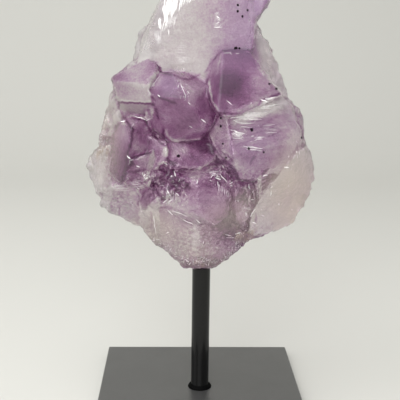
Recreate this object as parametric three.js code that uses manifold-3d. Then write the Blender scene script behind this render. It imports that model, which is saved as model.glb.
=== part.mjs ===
// Amethyst cluster on a square base plate and a round post.
// Millimetres, +Z up, front towards -Y, origin at the middle of the underside of the base plate.
//
// The stone is laid out as a front view. A place on it is [x, z] in the upright plane through the post,
// and a rise, the distance that the place stands in front of that plane, on the line to the viewer's eye.
import * as THREE from 'three';
import { ConvexGeometry } from 'three/addons/geometries/ConvexGeometry.js';
import { mergeVertices } from 'three/addons/utils/BufferGeometryUtils.js';
import Module from 'manifold-3d';

const wasm = await Module();
wasm.setup();

// The stand
const PLATE_SIDE = 90;
const PLATE_THICKNESS = 4;
const PLATE_EDGE_BREAK = 0.4;
const POST_RADIUS = 4;
const POST_TOP = 60.6;
const POST_SIDES = 48;
const WELD_WIDTH = 1.3;
const WELD_HEIGHT = 1.6;
const WELD_CLEARANCE = 0.05;
const FIT_GAP = 0.3;
// The section of the weld: how far out and how high its corners are, as shares of its width and height
const WELD_SECTION = [[0, 0], [1, 0], [0.75, 0.45], [0.35, 0.8], [0, 1], [0, 0]];

// The stone
const STONE_FOOT = POST_TOP + FIT_GAP;
const EYE = new THREE.Vector3(-11, -336, 165.4);
const CRYSTAL_ROOT = 1;

// The rough quartz behind the crystals: a slab, thin at its rim and thick at its middle
const ROCK_SPACING = 6;
const ROCK_ROW_STEP = ROCK_SPACING * Math.sqrt(0.75);
const ROCK_JITTER = 1.7;
const ROCK_FRONT = { rim: 1, slope: 0.75, most: 9, lump: 1.3 };
const ROCK_BACK = { rim: 4, slope: 0.9, most: 15, lump: 1.7 };
const ROCK_LEAST = 0.2;
const ROCK_REACH = 30;
const ROCK_FIELD = { left: -57, right: 57, bottom: 54, top: 201 };

// The rim of the stone in the front view, clockwise from the top left
const RIM = [
  [-9.5, 183.5], [-15, 178], [-20, 171.5], [-22, 167], [-25, 162.5], [-27, 161], [-28, 157.5], [-28.5, 153.5],
  [-30, 149], [-34, 146], [-38.5, 142.5], [-37, 138.5], [-39.5, 134.5], [-40.5, 128.5], [-42.5, 122.5],
  [-43.5, 117.5], [-45, 112], [-49, 108.5], [-49.5, 105.5], [-48, 102.5], [-46, 99], [-46, 94],
  [-43.5, 91.5], [-44.5, 88], [-40, 85.5], [-34, 83], [-30, 80], [-26.5, 79], [-22.5, 75], [-20, 71],
  [-16.5, 69], [-14, 66.5], [-10.5, 64], [-7.5, 60.5], [5, 60.5], [9, 63], [13.5, 65.5], [16.5, 69.5],
  [20.5, 73], [26.5, 75], [29, 77.5], [37.5, 79], [39, 81.5], [41.5, 85.5], [44, 90], [44, 94.5],
  [46.5, 98], [48, 103], [47.5, 107.5], [45, 113], [43, 118.5], [42, 126], [40.5, 130.5], [37.5, 132.5],
  [35, 136.5], [32.5, 141], [30, 147], [28, 152.5], [26.5, 156], [23.5, 161.5], [21, 166.5], [19.5, 175],
  [18, 186], [13, 191], [3, 189],
];

// The drop along every second edge of a small point, for each millimetre out
const POINT_EDGE_DROP = 1.25;

// Places closer than this are one place, and planes whose normals span less than this have no shared point
const SAME_PLACE = 1e-4;
const NEARLY_PARALLEL = 1e-5;

// Each crystal's outline is its rim in the front view, convex and in order round it. Each of its faces is a
// plane through three places [x, z, rise]. Its shoulder is the rise at which the outline holds.
const CRYSTALS = {
  // The broad pale crystal that makes the top of the stone, and its purple corner that leans to the right
  topBlock: {
    outline: [
      [-28, 148.5], [-26.5, 158.5], [-21.5, 169], [-17, 176], [-9.5, 183.5], [1, 190.5],
      [14, 194.5], [19, 183], [20.5, 168], [20, 156.5], [11, 136], [-22.5, 136],
    ],
    shoulder: 7,
    faces: [
      [[-22.5, 150.5, 12], [11, 150.5, 14], [-2, 175, 11]],
      [[-19, 172.5, 10], [-25, 156.5, 11], [-27.5, 154.5, 4]],
      [[-13.5, 178, 10], [12.5, 190, 9], [-0.5, 193.5, 0]],
    ],
  },
  topCorner: {
    outline: [[9, 158], [7.5, 183], [13, 194.5], [22, 193], [32, 183], [21.5, 166.5], [17.5, 159]],
    shoulder: 7,
    faces: [
      [[-22.5, 150.5, 12], [11, 150.5, 14], [-2, 175, 11]],
      [[13, 190, 9], [29, 181, 9], [26, 191, 0]],
      [[18.5, 163, 13], [27.5, 177, 12], [24.5, 169.5, 6]],
    ],
  },
  rightFlank: {
    outline: [[18.5, 165.5], [21, 165.5], [26.5, 157], [30.5, 148.5], [35.5, 136], [27, 134], [19, 151]],
    shoulder: 5,
    faces: [[[19.5, 159, 10], [26, 140.5, 11], [28.5, 151.5, 4]]],
  },
  // The small crystal at the upper left, which points to the left, with its dark underside
  upperLeft: {
    outline: [
      [-38.5, 142.5], [-29, 150], [-24, 151], [-18, 147], [-18.5, 142], [-20.5, 126], [-33.5, 126],
      [-35.5, 132],
    ],
    shoulder: 12,
    faces: [
      [[-38, 142, 14], [-23.5, 140.5, 23], [-24.5, 151, 11]],
      [[-38, 142, 14], [-23.5, 140.5, 23], [-34.5, 132.5, 15]],
      [[-34.5, 132.5, 15], [-21.5, 132.5, 22], [-29.5, 126, 7]],
      [[-38, 142, 14], [-35, 132.5, 15], [-39.5, 137, 5]],
      [[-18.5, 146, 14], [-21.5, 133.5, 20], [-16, 139, 8]],
    ],
  },
  // The crystal at the centre, whose tip stands furthest out
  centre: {
    outline: [
      [-22, 138.5], [-18.5, 144.5], [-7, 145], [-1.5, 145], [1.5, 142.5], [6, 130.5], [3.5, 124],
      [1, 120], [-2, 118], [-7.5, 116.5], [-15.5, 117], [-24, 125], [-24, 130],
    ],
    shoulder: 13,
    faces: [
      [[-11, 142, 23], [-5.5, 134.5, 32], [-19.5, 135.5, 24]],
      [[-11, 142, 23], [-5.5, 134.5, 32], [1.5, 140, 15]],
      [[-5.5, 132.5, 31], [-19.5, 134.5, 24], [-1.5, 125, 29]],
      [[-5.5, 132.5, 31], [-1.5, 125, 29], [5.5, 130, 14]],
      [[-19.5, 134.5, 24], [-16, 118, 21], [-24, 125, 14]],
      [[-15.5, 118.5, 21], [0.5, 122, 26], [-7.5, 116, 16]],
    ],
  },
  // The dark crystal at the upper right
  upperRight: {
    outline: [
      [1, 146.5], [7.5, 154.5], [13, 155], [19.5, 153.5], [31.5, 138], [32, 136.5], [24, 132],
      [14.5, 128], [9.5, 128], [5, 130], [1.5, 136],
    ],
    shoulder: 14,
    faces: [
      [[7.5, 154, 19], [20, 153, 16], [9.5, 129, 31]],
      [[7.5, 154, 19], [5.5, 134, 28], [1.5, 144.5, 13]],
    ],
  },
  // The largest of the crystals, at the right, whose tip points down
  lowerRight: {
    outline: [
      [2.5, 119.5], [6, 127], [10.5, 130.5], [33, 137], [37.5, 132], [42.5, 118.5], [41, 112],
      [38.5, 107.5], [30, 102.5], [22, 100], [17, 100], [9, 108], [4.5, 113],
    ],
    shoulder: 14,
    faces: [
      [[9.5, 127, 25], [13, 110.5, 32], [2.5, 119.5, 18]],
      [[9.5, 127, 25], [13, 110.5, 32], [42.5, 118.5, 13]],
      [[13, 110.5, 32], [17.5, 100.5, 28], [5, 112, 18]],
      [[13, 109.5, 32], [38.5, 109.5, 14], [23, 99, 22]],
      [[32.5, 134.5, 18], [38, 113, 17], [41, 126, 9]],
    ],
  },
  // The long crystal at the left, with a grey left face and a purple right one
  leftSpear: {
    outline: [
      [-33.5, 125.5], [-29, 127], [-24.5, 126], [-21.5, 117.5], [-22, 111.5], [-30, 103],
      [-34.5, 97.5], [-40, 102.5], [-38.5, 115.5], [-37, 122],
    ],
    shoulder: 12,
    faces: [
      [[-30.5, 122.5, 21], [-32, 108, 23], [-39, 112.5, 9]],
      [[-30.5, 122.5, 21], [-32, 108, 23], [-22, 116, 14]],
      [[-30.5, 122.5, 21], [-37, 122, 14], [-33.5, 125.5, 10]],
    ],
  },
  leftHeart: {
    outline: [[-25, 111.5], [-23, 118], [-16, 116], [-15, 112], [-15.5, 107.5], [-20, 104.5], [-26.5, 105.5]],
    shoulder: 10,
    faces: [
      [[-22.5, 116.5, 16], [-16, 114, 20], [-20, 105, 19]],
      [[-22.5, 116.5, 16], [-20, 105, 19], [-26.5, 108, 15]],
    ],
  },
  leftStep: {
    outline: [[-31, 107.5], [-22, 112], [-19, 107.5], [-20.5, 98], [-27, 96], [-33, 97.5]],
    shoulder: 10,
    faces: [
      [[-31, 107.5, 24], [-22.5, 111, 22], [-28.5, 96.5, 19.5]],
      [[-22.5, 111, 22], [-24, 97, 17.5], [-19, 103, 15.5]],
    ],
  },
  // The face that lies back in the shade under the centre crystal
  shadedFace: {
    outline: [[-17, 117], [0.5, 120.5], [5, 112.5], [5, 108.5], [-1, 105], [-14, 104.5]],
    shoulder: 10,
    faces: [[[-15, 114.5, 17], [2, 117, 13], [-5.5, 105, 20]]],
  },
  // The milky mass at the lower middle, and the skirt under it that runs down to the post
  milkyLobe: {
    outline: [
      [-10.5, 103], [-3, 105.5], [10, 105], [11.5, 99.5], [11.5, 84], [5.5, 80], [-3, 80.5],
      [-16, 85.5], [-18.5, 93],
    ],
    shoulder: 12,
    faces: [
      [[-3, 99.5, 23], [-1, 84, 25], [-16, 90.5, 16]],
      [[-3, 99.5, 23], [-1, 84, 25], [11, 93, 19]],
      [[-3, 99.5, 23], [-9.5, 103, 17], [10, 104, 16]],
      [[-1, 84.5, 25], [-16, 85.5, 16], [-1, 79, 19]],
    ],
  },
  skirt: {
    outline: [
      [-21, 87], [18, 85], [20, 74.5], [15.5, 68.5], [9, 63], [5, 60.5], [-7.5, 60.5], [-13, 66],
      [-18, 71.5], [-21.5, 78],
    ],
    shoulder: 6,
    faces: [
      [[-16, 85, 15], [-1, 82, 20], [-5, 64.5, 10]],
      [[-16, 85, 15], [-13, 70.5, 9], [-21, 79.5, 7]],
      [[-0.5, 82, 19], [16.5, 83.5, 14], [4.5, 64.5, 10]],
      [[16.5, 83.5, 14], [15, 70, 6], [20.5, 76.5, 4]],
    ],
  },
  // Three ribs in the dark gap at the lower right
  ribInner: {
    outline: [
      [11, 106.5], [14.5, 105], [18, 99.5], [21, 92.5], [20.5, 84.5], [18, 80], [12.5, 81], [10, 95.5],
    ],
    shoulder: 8,
    faces: [
      [[12.5, 103, 15], [20, 92.5, 15], [15, 82, 18]],
      [[14.5, 97.5, 17], [15, 84, 18], [10.5, 93, 12]],
    ],
  },
  ribMiddle: {
    outline: [[17.5, 100.5], [25.5, 101], [27, 91], [24, 81], [20.5, 84], [18.5, 91]],
    shoulder: 6,
    faces: [
      [[23.5, 100, 17], [24, 85.5, 9], [27, 92.5, 10]],
      [[23.5, 100, 17], [24, 85.5, 9], [19, 95.5, 11]],
    ],
  },
  ribOuter: {
    outline: [[25.5, 101.5], [34, 105.5], [38, 107], [35, 100.5], [24.5, 85.5], [23.5, 91]],
    shoulder: 6,
    faces: [
      [[26.5, 100.5, 16], [36, 105.5, 12], [25, 87.5, 7]],
      [[26.5, 100.5, 16], [25, 87.5, 7], [23.5, 95.5, 10]],
    ],
  },
  // The pale plates of the rim
  rightPlate: {
    outline: [
      [23, 88.5], [32.5, 101.5], [43.5, 114.5], [47.5, 107.5], [48, 101], [44.5, 89.5], [39, 80.5],
      [28, 76], [23.5, 75], [20, 76.5],
    ],
    shoulder: 3,
    faces: [
      [[38, 102, 13], [47, 104.5, 9], [26.5, 79.5, 10]],
      [[44.5, 108.5, 10], [45, 97.5, 8], [48.5, 103.5, 3]],
    ],
  },
  leftPlate: {
    outline: [
      [-45.5, 111.5], [-40, 115.5], [-34.5, 106], [-33.5, 97], [-40, 94], [-46, 94], [-49.5, 105.5],
    ],
    shoulder: 2,
    faces: [
      [[-40.5, 112.5, 8], [-35.5, 96.5, 11], [-47.5, 104.5, 4]],
      [[-46.5, 108, 4], [-45.5, 96.5, 4], [-49, 104.5, 0]],
    ],
  },
  leftFootPlate: {
    outline: [[-43, 92], [-40, 96.5], [-28, 97.5], [-25.5, 93.5], [-26.5, 79.5], [-34, 82.5], [-43.5, 87.5]],
    shoulder: 3,
    faces: [
      [[-38, 96, 11], [-27, 95, 15], [-34.5, 84.5, 5]],
      [[-38, 96, 11], [-40, 86, 4], [-43, 91.5, 4]],
    ],
  },
  rosePatch: {
    outline: [[-28, 95], [-23.5, 97], [-19.5, 94.5], [-19.5, 87.5], [-26.5, 86.5]],
    shoulder: 6,
    faces: [[[-26.5, 94, 17], [-20, 94, 14], [-24, 87, 13]]],
  },
  stainedFlank: {
    outline: [[-27, 88], [-19, 88], [-17.5, 71], [-21, 71.5], [-26.5, 78.5]],
    shoulder: 4,
    faces: [[[-26, 87, 12], [-19.5, 87, 14], [-21.5, 72.5, 4]]],
  },
};

// Small points in the gaps: where the tip is, its reach to the corners, its turn, and its lean to [x, z]
const SMALL_POINTS = [
  { tip: [-18, 102.5, 20.5], reach: 5, turn: 100, lean: [-1.2, 1.4] },
  { tip: [-11.5, 101, 22], reach: 5.6, turn: 75, lean: [1.5, 1] },
  { tip: [-17, 93.5, 21.5], reach: 5.6, turn: 95, lean: [-1.8, -1] },
  { tip: [-7.5, 98.5, 23.5], reach: 3.8, turn: 20, lean: [0.4, 1.4] },
  { tip: [-13.5, 106.5, 20], reach: 3.2, turn: 45, lean: [-0.6, 0.8] },
  { tip: [-23.5, 101, 20], reach: 3.8, turn: 10, lean: [-1.2, 0.3] },
  { tip: [-12.5, 94.5, 21.5], reach: 3.4, turn: 50, lean: [0.8, -0.9] },
  { tip: [-20.5, 89, 18], reach: 3.6, turn: 30, lean: [-0.8, -1] },
  { tip: [7.5, 103.5, 18.5], reach: 3.8, turn: 80, lean: [0.8, 0.9] },
  { tip: [12.5, 99.5, 18.5], reach: 3.2, turn: 35, lean: [1, 0.6] },
  { tip: [18.5, 95.5, 18], reach: 3.8, turn: 60, lean: [1.2, 0.2] },
  { tip: [20, 87, 17], reach: 4, turn: 15, lean: [1.2, -1] },
  { tip: [-24, 121.5, 17], reach: 3.8, turn: 50, lean: [0.5, -1] },
  { tip: [6.5, 113.5, 16], reach: 4, turn: 25, lean: [-0.9, -0.5] },
  { tip: [-36, 126.5, 13], reach: 3.6, turn: 40, lean: [-1, 0.8] },
  { tip: [-27.5, 100, 16.5], reach: 3.4, turn: 85, lean: [-0.5, 1] },
];

// Space for a place of the front view: the point in the plane of the post, moved towards the eye
function placed([x, z, rise = 0]) {
  const flat = new THREE.Vector3(x, 0, z);
  return flat.lerp(EYE, rise / -EYE.y);
}

function solidOf(geometry) {
  const bare = geometry.clone();
  bare.deleteAttribute('normal');
  bare.deleteAttribute('uv');
  const merged = mergeVertices(bare, SAME_PLACE);
  return new wasm.Manifold(new wasm.Mesh({
    numProp: 3,
    vertProperties: new Float32Array(merged.attributes.position.array),
    triVerts: new Uint32Array(merged.index.array),
  }));
}

function geometryOf(solid) {
  const mesh = solid.getMesh();
  const geometry = new THREE.BufferGeometry();
  geometry.setAttribute('position', new THREE.BufferAttribute(new Float32Array(mesh.vertProperties), 3));
  geometry.setIndex(new THREE.BufferAttribute(new Uint32Array(mesh.triVerts), 1));
  return geometry;
}

function planeThrough(corners, inside) {
  const plane = new THREE.Plane().setFromCoplanarPoints(...corners);
  return plane.distanceToPoint(inside) > 0 ? plane.negate() : plane;
}

// The point that three planes share, or null where two of them are nearly parallel
function meetingPoint(a, b, c) {
  const acrossBC = new THREE.Vector3().crossVectors(b.normal, c.normal);
  const acrossCA = new THREE.Vector3().crossVectors(c.normal, a.normal);
  const acrossAB = new THREE.Vector3().crossVectors(a.normal, b.normal);
  const spread = a.normal.dot(acrossBC);
  if (Math.abs(spread) < NEARLY_PARALLEL) return null;
  return acrossBC.multiplyScalar(-a.constant)
    .addScaledVector(acrossCA, -b.constant)
    .addScaledVector(acrossAB, -c.constant)
    .divideScalar(spread);
}

// The convex solid that lies on the inner side of every plane
function solidWithin(planes) {
  const corners = [];
  planes.forEach((a, i) => planes.slice(i + 1).forEach((b, j) => planes.slice(i + j + 2).forEach((c) => {
    const corner = meetingPoint(a, b, c);
    if (corner && planes.every((plane) => plane.distanceToPoint(corner) < SAME_PLACE)) corners.push(corner);
  })));
  return solidOf(new ConvexGeometry(corners));
}

// A crystal stands on its outline along the line of sight, so its rim shows where the outline says
function crystal({ outline, shoulder, faces }) {
  const rim = outline.map(([x, z]) => placed([x, z, shoulder]));
  const middle = rim.reduce((sum, corner) => sum.add(corner), new THREE.Vector3()).divideScalar(rim.length);
  const backwards = middle.clone().sub(EYE).normalize();
  const inside = middle.clone().addScaledVector(backwards, shoulder);
  const sides = rim.map((corner, i) => {
    const next = rim[(i + 1) % rim.length];
    return planeThrough([corner, next, corner.clone().add(backwards)], inside);
  });
  const ends = faces.map((face) => planeThrough(face.map(placed), inside));
  const root = new THREE.Plane(new THREE.Vector3(0, 1, 0), -CRYSTAL_ROOT);
  return solidWithin([...sides, ...ends, root]);
}

function smallPoint({ tip, reach, turn, lean }) {
  const [x, z, rise] = tip;
  const corner = (step) => {
    const angle = THREE.MathUtils.degToRad(turn + step * 60);
    const drop = reach * (step % 2 ? POINT_EDGE_DROP : 1);
    return [x - lean[0] + reach * Math.cos(angle), z - lean[1] + reach * Math.sin(angle), rise - drop];
  };
  const steps = [0, 1, 2, 3, 4, 5];
  return crystal({
    outline: steps.map((step) => corner(step).slice(0, 2)),
    shoulder: rise - reach,
    faces: steps.map((step) => [tip, corner(step), corner((step + 1) % 6)]),
  });
}

// How far a place lies inside the rim, negative outside it
function depthInside([x, z]) {
  let nearest = Infinity;
  let inside = false;
  RIM.forEach(([ax, az], i) => {
    const [bx, bz] = RIM[(i + 1) % RIM.length];
    const length = (bx - ax) ** 2 + (bz - az) ** 2;
    const along = THREE.MathUtils.clamp(((x - ax) * (bx - ax) + (z - az) * (bz - az)) / length, 0, 1);
    nearest = Math.min(nearest, Math.hypot(x - ax - along * (bx - ax), z - az - along * (bz - az)));
    if ((az > z) !== (bz > z) && x < ax + (bx - ax) * (z - az) / (bz - az)) inside = !inside;
  });
  return inside ? nearest : -nearest;
}

// A repeatable scatter between -1 and 1 for a lattice node
function scatter(column, row, channel) {
  const wave = Math.sin(column * 127.1 + row * 311.7 + channel * 74.7) * 43758.5453;
  return 2 * (wave - Math.floor(wave)) - 1;
}

// Nodes of one rough side of the slab on a jittered triangular lattice; towards is 1 in front and -1 behind
function rockSide({ rim, slope, most, lump }, columns, rows, towards) {
  const nodes = [];
  for (let row = 0; row <= rows; row += 1) {
    for (let column = 0; column <= columns; column += 1) {
      const atEdge = row === 0 || column === 0 || row === rows || column === columns;
      const jitter = atEdge ? 0 : ROCK_JITTER;
      const x = ROCK_FIELD.left + (column + (row % 2) / 2) * ROCK_SPACING
        + jitter * scatter(column, row, towards);
      const z = ROCK_FIELD.bottom + row * ROCK_ROW_STEP
        + jitter * scatter(column, row, towards * 2);
      const depth = Math.max(-rim, depthInside([x, z]) * slope);
      const thickness = Math.min(most, rim + depth) + lump * scatter(column, row, towards * 3);
      nodes.push(x, -towards * Math.max(thickness, ROCK_LEAST), z);
    }
  }
  return nodes;
}

function rockTriangles(columns, rows) {
  const across = columns + 1;
  const behind = across * (rows + 1);
  const triangles = [];
  const join = (a, b, c) => {
    triangles.push(a, b, c, a + behind, c + behind, b + behind);
  };
  const wall = (a, b) => triangles.push(a, a + behind, b + behind, a, b + behind, b);
  for (let row = 0; row < rows; row += 1) {
    for (let column = 0; column < columns; column += 1) {
      const low = row * across + column;
      const high = low + across;
      if (row % 2) {
        join(low, low + 1, high + 1);
        join(low, high + 1, high);
      } else {
        join(low, low + 1, high);
        join(low + 1, high + 1, high);
      }
    }
    wall((row + 1) * across, row * across);
    wall(row * across + columns, (row + 1) * across + columns);
  }
  for (let column = 0; column < columns; column += 1) {
    wall(column, column + 1);
    wall(rows * across + column + 1, rows * across + column);
  }
  return triangles;
}

// The rough quartz that the crystals grew from, broken off along the rim
function hostRock() {
  const columns = Math.round((ROCK_FIELD.right - ROCK_FIELD.left) / ROCK_SPACING);
  const rows = Math.round((ROCK_FIELD.top - ROCK_FIELD.bottom) / ROCK_ROW_STEP);
  const nodes = [
    ...rockSide(ROCK_FRONT, columns, rows, 1),
    ...rockSide(ROCK_BACK, columns, rows, -1),
  ];
  const slab = new wasm.Manifold(new wasm.Mesh({
    numProp: 3,
    vertProperties: new Float32Array(nodes),
    triVerts: new Uint32Array(rockTriangles(columns, rows)),
  }));
  const rim = new THREE.Shape(RIM.map(([x, z]) => new THREE.Vector2(x, z)));
  const prism = new THREE.ExtrudeGeometry(rim, { depth: 2 * ROCK_REACH, bevelEnabled: false });
  prism.translate(0, 0, -ROCK_REACH);
  prism.rotateX(Math.PI / 2);
  return slab.intersect(solidOf(prism));
}

// The whole stone, cut flat where it stands on the post
function amethystCluster() {
  const grown = [
    ...Object.values(CRYSTALS).map(crystal),
    ...SMALL_POINTS.map(smallPoint),
  ];
  const whole = grown.reduce((stone, piece) => stone.add(piece), hostRock());
  const below = new THREE.BoxGeometry(PLATE_SIDE, PLATE_SIDE, STONE_FOOT);
  below.translate(0, 0, STONE_FOOT / 2);
  const bodies = whole.subtract(solidOf(below)).decompose();
  const largest = bodies.reduce((a, b) => (b.volume() > a.volume() ? b : a));
  return geometryOf(largest);
}

function basePlate() {
  const half = PLATE_SIDE / 2 - PLATE_EDGE_BREAK;
  const square = new THREE.Shape([
    new THREE.Vector2(-half, -half),
    new THREE.Vector2(half, -half),
    new THREE.Vector2(half, half),
    new THREE.Vector2(-half, half),
  ]);
  const geometry = new THREE.ExtrudeGeometry(square, {
    depth: PLATE_THICKNESS - 2 * PLATE_EDGE_BREAK,
    bevelSize: PLATE_EDGE_BREAK,
    bevelThickness: PLATE_EDGE_BREAK,
    bevelSegments: 1,
  });
  geometry.translate(0, 0, PLATE_EDGE_BREAK);
  return geometry;
}

function roundPost() {
  const length = POST_TOP - PLATE_THICKNESS;
  const geometry = new THREE.CylinderGeometry(POST_RADIUS, POST_RADIUS, length, POST_SIDES);
  geometry.rotateX(Math.PI / 2);
  geometry.translate(0, 0, PLATE_THICKNESS + length / 2);
  return geometry;
}

// The fillet of weld around the foot of the post
function weldBead() {
  const inner = POST_RADIUS + WELD_CLEARANCE;
  const profile = WELD_SECTION.map(([out, up]) => (
    new THREE.Vector2(inner + out * WELD_WIDTH, up * WELD_HEIGHT)
  ));
  const geometry = new THREE.LatheGeometry(profile, POST_SIDES);
  geometry.rotateX(Math.PI / 2);
  geometry.translate(0, 0, PLATE_THICKNESS);
  return geometry;
}

const satinBlack = new THREE.MeshStandardMaterial({ color: 0x1c1c1c, roughness: 0.4, metalness: 0.2 });
const paleAmethyst = new THREE.MeshStandardMaterial({ color: 0xa985b8, roughness: 0.15, metalness: 0 });

function named(name, geometry, material) {
  const mesh = new THREE.Mesh(geometry, material);
  mesh.name = name;
  return mesh;
}

const stand = new THREE.Group();
stand.add(named('base_plate', basePlate(), satinBlack.clone()));
stand.add(named('post', roundPost(), satinBlack.clone()));
stand.add(named('weld_bead', weldBead(), satinBlack.clone()));

const specimen = new THREE.Group();
specimen.add(stand);
specimen.add(named('amethyst_cluster', amethystCluster(), paleAmethyst));

export default specimen;
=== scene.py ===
import math
import random

import bmesh
import bpy
import numpy as np
from mathutils import Matrix, Vector, noise
from mathutils.bvhtree import BVHTree


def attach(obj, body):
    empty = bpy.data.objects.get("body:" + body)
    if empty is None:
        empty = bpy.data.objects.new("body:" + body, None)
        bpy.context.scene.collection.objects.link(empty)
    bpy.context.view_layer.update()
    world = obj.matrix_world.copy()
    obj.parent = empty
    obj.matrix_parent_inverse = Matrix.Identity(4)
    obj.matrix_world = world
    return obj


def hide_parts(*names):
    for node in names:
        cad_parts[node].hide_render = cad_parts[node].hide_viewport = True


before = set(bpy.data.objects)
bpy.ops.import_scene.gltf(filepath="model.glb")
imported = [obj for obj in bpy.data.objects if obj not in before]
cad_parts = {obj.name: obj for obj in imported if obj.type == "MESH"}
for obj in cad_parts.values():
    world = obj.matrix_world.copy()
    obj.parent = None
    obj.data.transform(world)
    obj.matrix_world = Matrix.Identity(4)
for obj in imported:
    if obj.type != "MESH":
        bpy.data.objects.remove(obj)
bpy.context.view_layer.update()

MM = 0.001
SCENE = bpy.context.scene
CLUSTER = "amethyst_cluster"

# The viewer's eye, in millimetres, and the way it looks, in radians
EYE = Vector((-11.0, -336.0, 165.4))
LOOK_DOWN = 0.2183
LOOK_RIGHT = 0.0298
HEAD_TILT = 0.0137
LENS = 71.6
SENSOR = 36.0

# The crystal mesh, and how many rounds each smoothing takes
CELL = 0.64 * MM
JOIN_DISTANCE = 0.002 * MM
SAME_FACET = math.radians(1.5)
EDGE_WEAR_ROUNDS = 1
COLOUR_BLEND_ROUNDS = 1
ROCK_BLEND_ROUNDS = 3
SOFT_BLEND_ROUNDS = 6
SOFT_SHARE = 0.6
RIM_LEVEL, RIM_SLOPE = 1.3, 1.7
TURN = Matrix.Rotation(0.7, 3, (0.6, 0.3, 0.8))

# The relief, in millimetres: waves, broken rock, drusy points, grit and growth ledges. A noise is given
# by its fractal dimension, lacunarity and octaves, and that of the rock by an offset too.
WAVE_SIZE, WAVE_HEIGHT, WAVE_NOISE = 6, 0.14, (1.0, 2.0, 4)
ROCK_SIZE, ROCK_HEIGHT, ROCK_SINK, ROCK_NOISE = 3.2, 0.75, 0.35, (0.9, 2.1, 5, 0.4)
POINT_SPACING, POINT_REACH, POINT_LEVEL, POINT_HEIGHT = 2.6, 0.55, 0.3, 1.5
GRIT_SPACING, GRIT_LEVEL, GRIT_HEIGHT = 1.5, 0.4, 0.9
LEDGE_SPACING, LEDGE_DEPTH, LEDGE_TILT = 2.6, 0.5, 0.2
LEDGE_WAVER, LEDGE_LENGTH = 0.7, 8

# The bright lines, the chips and the grains
LINE_STEP = 0.6
LINE_JUMP = 2 * MM
LINE_WAVER, LINE_WAVER_RATE = 0.25, 0.5
LINE_UNEVENNESS, LINE_UNEVEN_RATE, LINE_UNEVEN_LEVEL = 0.5, 1.3, 5
LINE_TIP, LINE_FULLNESS = 0.08, 0.8
SURFACE_LIFT = 0.03 * MM
CHIP_SPREAD = 0.6
FROST_SEED = 11
GRAIN_SEED = 5
GRAIN_HALF = 0.75 * MM
GRAIN_RISE, GRAIN_HEIGHT, GRAIN_LUMPS, GRAIN_SHIFT = 0.2, 0.6, 0.3, 900

# The colours of the quartz from colourless to the deepest purple, which is at DEEPEST, and its tints
PURPLE_RAMP = ("f1f0ec", "d1c7ca", "ae85aa", "864a80", "60275a", "3e1139")
DEEPEST = 1.3
VIOLET = "ab88bd"
BEIGE = "e4d8cb"
TAN = "c4b096"
WHITE = "fbfaf8"

# Painted shade in hollows, and a little painted light on swells: the rounds of smoothing that show them,
# their least and most in millimetres, and how much deeper the purple is for each millimetre
HOLLOW_SHADE = ((20, -0.2, 0.8, 0.5), (4, -0.1, 0.4, 1.2))

# The rest of the purple, the paleness of the back, the pale edges of wear and painted highlight, and the
# frost
COLOUR_REACH = 5.0
LEAST_NEARNESS = 1e-9
PURPLE_LIFT = 0.08
ROCK_PURPLE = 0.05
PEAK_PALENESS = 0.6
SEAM_DEPTH, PALE_SEAM_DEPTH = 1.8, 1.3
SEAM_WAVES = ((0.12, 1.7, 0), (0.08, 4.3, 1))
BACK_START, BACK_REACH, BACK_PALENESS, BACK_WARMTH = 2, 8, 0.6, 0.4
WEAR_AND_HIGHLIGHT_GAIN, WEAR_AND_HIGHLIGHT_START, UNWORN_UNHIGHLIGHTED_SHARE, DRUSE_WEAR_AND_HIGHLIGHT_LOSS = 9, 0.15, 0.1, 0.6
CRYSTAL_FROST, ROCK_FROST, ROCK_GRAIN = 0.2, 0.7, 0.5

# The quartz: what each noise and each mark adds to the purple, the roughness, the coat and the ripples
MOTTLE = dict(small=0.4, broad=0.7)
UNCALMED = dict(calm=-0.85)
VEINS = dict(fine=0.6, small=0.3, growth=0.6, speckle=3.0)
VEINS_SHOWING, VEINS_ON_CLEAR = dict(purple=1.6), 0.25
ROUGHNESS, SMOOTHEST = dict(frost=0.3, small=0.12, calm=0.35), 0.02
COAT_LOSS, COAT, COAT_ROUGHNESS = dict(calm=-0.3), 0.3, 0.08
RIPPLES = dict(fine=1.0, small=2.5, growth=3.0, speckle=5.0)
RIPPLE_STRENGTH, RIPPLE_DEPTH = 0.35, 0.3 * MM
SPOT_CONTRAST, SPOT_ONSET = 1.3, 4.0
WEAR_AND_HIGHLIGHT_SPREAD, WEAR_AND_HIGHLIGHT_WHITENESS = 0.55, 0.5
TRANSMISSION, QUARTZ_INDEX = 0.75, 1.544
ABSORPTION, ABSORPTION_DENSITY = (0.80, 0.62, 0.88, 1), 5

# The sockets of a mix node that hold colours
MIX_FIRST, MIX_SECOND, MIX_RESULT = 6, 7, 2

# The other colours
DARK = "4e3a48"
GOETHITE_BLACK, GOETHITE_BROWN = (0.006, 0.003, 0.006, 1), "2a1524"
PAINT_LIGHT, PAINT_VARIATION = "262524", 60
FLOOR_COLOUR = (0.61, 0.607, 0.57, 1)

# The room, in metres and watts: each light's place, its two sides and its power
FLOOR_HALF, WALL_TOP = 1.6, 1.6
BEND_START, BEND_RADIUS, BEND_STEPS = 0.5, 0.4, 12
ROOM_COLOUR, ROOM_STRENGTH = (0.96, 0.96, 0.95, 1), 0.65
LIT_PLACE = (0, 0, 0.12)
LIGHTS = dict(
    overhead=((-0.25, -0.25, 0.9), (0.9, 0.9), 6),
    left_window=((-0.9, -0.35, 0.45), (0.6, 0.8), 2.5),
    front_window=((-0.1, -0.65, 0.45), (0.5, 0.5), 2.5),
)
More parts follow.
